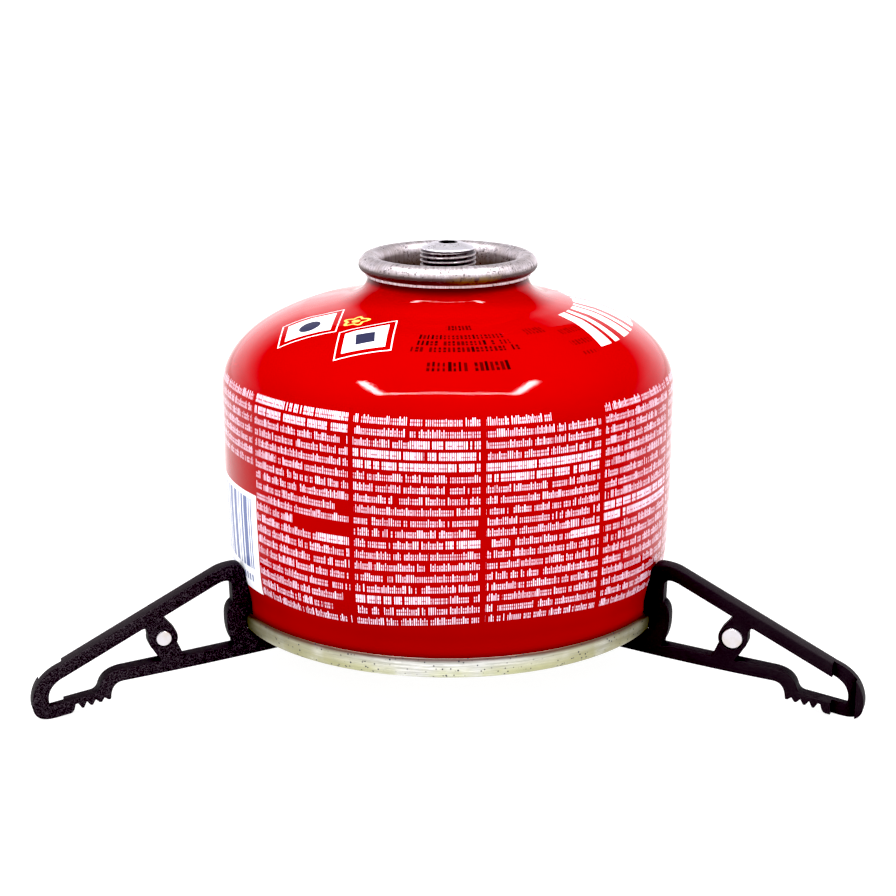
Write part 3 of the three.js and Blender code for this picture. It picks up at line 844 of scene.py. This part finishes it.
add_piece("can_shell", turned("can_shell", can_profile, WALL_SIDES), can_paint(),
          ON_CANISTER, "canister", "red_paint", "can_body")
add_piece("bottom_seam", turned("bottom_seam", base_profile, WALL_SIDES), seam_metal(),
          ON_CANISTER, "canister", "tinplate", "base_end")
add_piece("valve_ring", turned("valve_ring", cup_profile, CUP_SIDES, threaded), cup_steel,
          ON_CANISTER, "canister", "cup_steel", "valve_cup")
add_piece("valve_insert", turned("valve_insert", housing_profile, SMALL_SIDES), acetal,
          ON_CANISTER, "canister", "housing_plastic", "valve_housing")
add_piece("valve_plunger", turned("valve_plunger", stem_profile, SMALL_SIDES), dark_steel,
          ON_CANISTER, "plunger", "bright_steel", "valve_stem")
gasket = [(1.32, 71.28), (4.28, 71.28), (4.28, 72.2), (1.32, 72.2)]
add_piece("valve_gasket", turned("valve_gasket", gasket, SMALL_SIDES), rubber,
          ON_CANISTER, "canister", "rubber", "stem_gasket")
carried("valve_spring", wire_steel)
carried("cup_gasket", rubber)
carried("seam_compound", sealing)

# Side, direction from the hub, place of the eye on the hub, sideways shift, and body.
LEGS = (
    ("left", 200, 0, 4.0, "leg_left"),
    ("rear", 90, 1, 0.0, "stand"),
    ("right", -20, 2, -4.0, "leg_right"),
)
for side, azimuth, level, shift, body in LEGS:
    turn = Matrix.Rotation(radians(azimuth), 4, "Z")
    place = ON_CANISTER @ turn @ Matrix.Translation((0, shift * MM, 0))
    add_piece("stand_leg_" + side, leg_mesh(level, shift), plastic,
              place, body, "black_plastic", "leg_" + side)
    add_piece("stand_pin_" + side, pin_mesh(), bright_steel,
              place, body, "bright_steel", "pin_" + side)

rivet = [
    (0, -2.3), (2.2, -2.3), (3.4, -1.95), (3.9, -1.5), (3.9, -1.2), (2.0, -1.2), (2.0, 8.0),
    (3.5, 8.0), (3.5, 8.35), (3.0, 8.75), (2.1, 9.0), (0, 9.0)
]
add_piece("hub_rivet_turned", turned("hub_rivet_turned", rivet, SMALL_SIDES), bright_steel,
          ON_CANISTER, "stand", "bright_steel", "hub_rivet")
WASHER_R, WASHER_EDGE = 5, 0.08
for name, low, high, look, slot in (
    ("hub_washer_top", 7.3, 7.9, bright_steel, "bright_steel"),
    ("hub_washer_bottom", -1.1, -0.5, bright_steel, "bright_steel"),
    ("spacer_lower", 1.9, 2.2, wire_steel, "spring_steel"),
    ("spacer_upper", 4.6, 4.9, wire_steel, "spring_steel"),
):
    section = [
        (HUB_BORE_R, low), (WASHER_R - WASHER_EDGE, low), (WASHER_R, low + WASHER_EDGE),
        (WASHER_R, high - WASHER_EDGE), (WASHER_R - WASHER_EDGE, high), (HUB_BORE_R, high),
    ]
    washer = turned(name, section, SMALL_SIDES)
    add_piece(name + "_turned", washer, look, ON_CANISTER, "stand", slot, name)

# ---- floor, world and lights ---------------------------------------------------

FLOOR_HALF = 12.0
floor_mesh = bpy.data.meshes.new("floor")
floor_corners = [
    (-FLOOR_HALF, -FLOOR_HALF, 0), (FLOOR_HALF, -FLOOR_HALF, 0),
    (FLOOR_HALF, FLOOR_HALF, 0), (-FLOOR_HALF, FLOOR_HALF, 0),
]
floor_mesh.from_pydata(floor_corners, [], [(0, 1, 2, 3)])
floor = bpy.data.objects.new("floor", floor_mesh)
scene.collection.objects.link(floor)
floor_look = Surface("pale_floor")
floor_look.finish(
    floor_look.mix(floor_look.noise(0.8, 2.0), (0.24, 0.24, 0.24), (0.26, 0.26, 0.26)), 0.9,
    Emission_Color=(1, 1, 1, 1), Emission_Strength=0.9,
)
floor_mesh.materials.append(floor_look.material)

# The sky is bright overhead and at the horizon, and dim between. Behind, the horizon is
# brighter and the sky overhead dimmer.
UPPER_SKY, HORIZON_SKY, MIDDLE_SKY = 0.75, 1.1, 0.06
REAR_UPPER, REAR_HORIZON = 0.22, 1.5
world = bpy.data.worlds.new("studio")
scene.world = world
world.use_nodes = True
sky = world.node_tree
spread = sky.nodes.new("ShaderNodeSeparateXYZ")
sky.links.new(sky.nodes.new("ShaderNodeTexCoord").outputs["Generated"], spread.inputs[0])
back, height = Field(sky, spread.outputs[1]), Field(sky, spread.outputs[2])
horizon = HORIZON_SKY * height.below(0.36, 0.28) * back.above(0.4, 0.7, 1.0, REAR_HORIZON)
overhead = UPPER_SKY * height.above(0.4, 0.5) * back.above(0.4, 0.7, 1.0, REAR_UPPER)
strength = MIDDLE_SKY + horizon + overhead
plug(sky, sky.nodes["Background"].inputs["Strength"], strength)
plug(sky, sky.nodes["Background"].inputs["Color"], (0.98, 0.96, 1, 1))


def soft_light(name, at, size_x, size_y, power):
    data = bpy.data.lights.new(name, "AREA")
    data.shape = "RECTANGLE"
    data.size, data.size_y = size_x, size_y
    data.energy = power
    light = bpy.data.objects.new(name, data)
    light.location = at
    scene.collection.objects.link(light)
    return light


# Three strips, open at the back, mirror in the shoulder as a bright line that turns up at
# its ends. Their plan is in shares of their height over the shoulder.
SHOULDER_MID_Z = 0.054
LIGHT_H = 0.9
FRAME_HALF_X, FRAME_FRONT_Y, FRAME_BACK_Y = 0.525, -0.44, -0.06
FRONT_WIDTH, FRONT_POWER = 0.012, 6.3
SIDE_WIDTH, SIDE_POWER = 0.065, 7.3
light_z = AXIS.z + SHOULDER_MID_Z + LIGHT_H
front_y = AXIS.y + FRAME_FRONT_Y * LIGHT_H
side_x = FRAME_HALF_X * LIGHT_H
side_y = (FRAME_FRONT_Y + FRAME_BACK_Y) / 2 * LIGHT_H + AXIS.y
side_len = (FRAME_BACK_Y - FRAME_FRONT_Y) * LIGHT_H
soft_light("front_strip", (0, front_y, light_z), 2 * side_x, FRONT_WIDTH, FRONT_POWER)
soft_light("left_strip", (-side_x, side_y, light_z), SIDE_WIDTH, side_len, SIDE_POWER)
soft_light("right_strip", (side_x, side_y, light_z), SIDE_WIDTH, side_len, SIDE_POWER)

# Soft fills light the paint without mirroring in it.
FILL_SIZE = (1.1, 0.7)
for name, at, power in (
    ("overhead_fill", (0, AXIS.y + 0.1, 1.3), 5.4),
    ("front_fill", (0, AXIS.y - 1.2, 0.75), 4.3),
):
    fill = soft_light(name, at, *FILL_SIZE, power)
    fill.rotation_euler = (AXIS - Vector(at)).to_track_quat("-Z", "Y").to_euler()
    fill.visible_glossy = False

scene.view_settings.view_transform = "Standard"
BLACK_LEVEL = 0.035
scene.view_settings.use_curve_mapping = True
scene.view_settings.curve_mapping.black_level = (BLACK_LEVEL,) * 3
scene.view_settings.curve_mapping.update()
